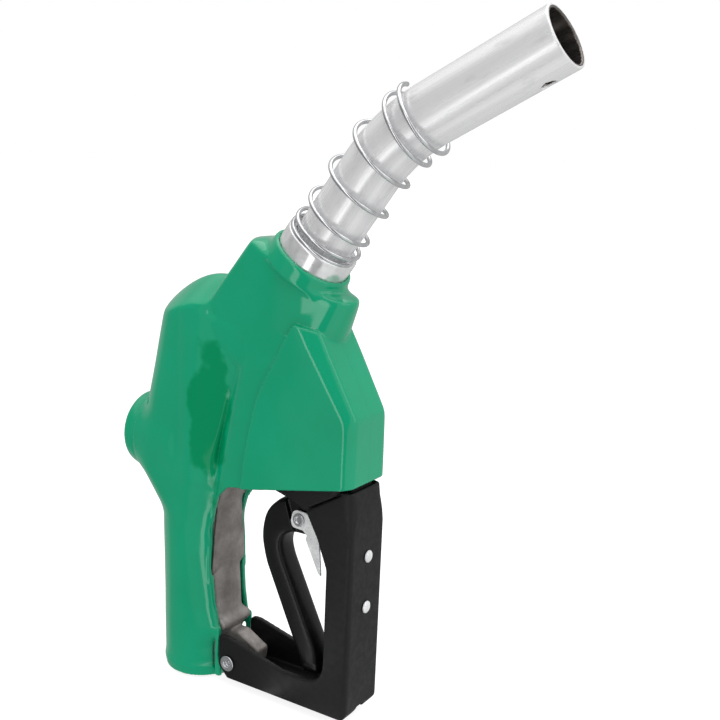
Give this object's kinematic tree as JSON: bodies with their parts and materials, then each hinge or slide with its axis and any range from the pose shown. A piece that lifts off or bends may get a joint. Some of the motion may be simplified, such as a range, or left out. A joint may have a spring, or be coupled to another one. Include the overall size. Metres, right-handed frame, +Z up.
{
  "type": "fuel nozzle",
  "caption": "Automatic shut-off fuel nozzle with bent spout, spout spring, vinyl-covered body, lever with hold-open clip, and hand guard.",
  "frame": {"origin": "on the mid-plane, on the back of the ring-shaped hose inlet face at the foot of the grip, 17.65 mm behind the inlet bore's axis", "axes": "+Z up along the grip, away from the hose; +X from the grip towards the hand guard; +Y across the nozzle, away from the side with the clip spring on its far side"},
  "size_m": [0.2413, 0.048, 0.3553],
  "materials": {
    "vinyl_cover": "glossy green vinyl",
    "casting": "rough as-cast",
    "spout_metal": "brushed along its length",
    "steel": "bright drawn wire and turned steel",
    "zinc": "satin zinc",
    "black_plastic": "fine textured black",
    "brass": "machined",
    "rubber": "matt black"
  },
  "bodies": {
    "body": {"body_casting": "casting", "cover": "vinyl_cover", "anchor_spring": "steel", "bracket_screw_far": "steel", "bracket_screw_near": "steel", "cap_screw_1": "steel", "cap_screw_2": "steel", "cap_screw_3": "steel", "cap_screw_4": "steel", "check_guide": "brass", "check_seat": "brass", "check_spring": "steel", "diaphragm": "rubber", "diaphragm_cap": "zinc", "diaphragm_spring": "steel", "guard_bracket": "black_plastic", "guard_pin": "steel", "hand_guard": "black_plastic", "main_spring": "steel", "packing_nut": "brass", "plunger_bush": "brass", "plunger_spring": "steel", "rack_plate": "steel", "rack_rivet_lower": "steel", "rack_rivet_upper": "steel", "spout": "spout_metal", "spout_collar": "spout_metal", "spout_screw": "steel", "spout_seal": "rubber", "stem_packing": "rubber", "valve_cap": "spout_metal", "valve_cap_seal": "rubber", "valve_seat": "brass", "vent_tube": "brass"},
    "main_valve": {"main_poppet": "brass", "poppet_disc": "rubber", "valve_stem": "steel"},
    "check_valve": {"check_poppet": "brass"},
    "latch": {"latch_pin": "steel"},
    "plunger": {"trip_plunger": "brass", "lever_pin": "steel", "latch_ball_1": "steel", "latch_ball_2": "steel", "latch_ball_3": "steel"},
    "lever": {"lever": "black_plastic", "clip_rivet": "steel", "clip_spring": "steel"},
    "clip": {"hold_open_clip": "zinc"}
  },
  "joints": [
    {"name": "main_valve_slide", "type": "slide", "parent": "body", "child": "main_valve", "axis": [-1, 0, 0], "range_m": [0, 0.007], "deforming": ["main_spring"]},
    {"name": "check_valve_slide", "type": "slide", "parent": "body", "child": "check_valve", "axis": [0.5878, 0, 0.809], "range_m": [0, 0.005], "deforming": ["check_spring"]},
    {"name": "latch_slide", "type": "slide", "parent": "body", "child": "latch", "axis": [-1, 0, 0], "range_m": [0, 0.003], "deforming": ["diaphragm_spring", "diaphragm"]},
    {"name": "plunger_drop", "type": "slide", "parent": "body", "child": "plunger", "axis": [1, 0, 0], "range_m": [0, 0.005], "deforming": ["plunger_spring"]},
    {"name": "lever_squeeze", "type": "hinge", "parent": "plunger", "child": "lever", "pos_m": [0.09665, 0, 0.176], "axis": [0, 1, 0], "range_deg": [0, 8.5]},
    {"name": "clip_swing", "type": "hinge", "parent": "lever", "child": "clip", "pos_m": [0.08815, 0, 0.1035], "axis": [0, 1, 0], "range_deg": [-24, 6]}
  ],
  "couplings": [
    {"joint": "main_valve_slide", "follows": "lever_squeeze", "m_per_rad": 0.0462}
  ]
}
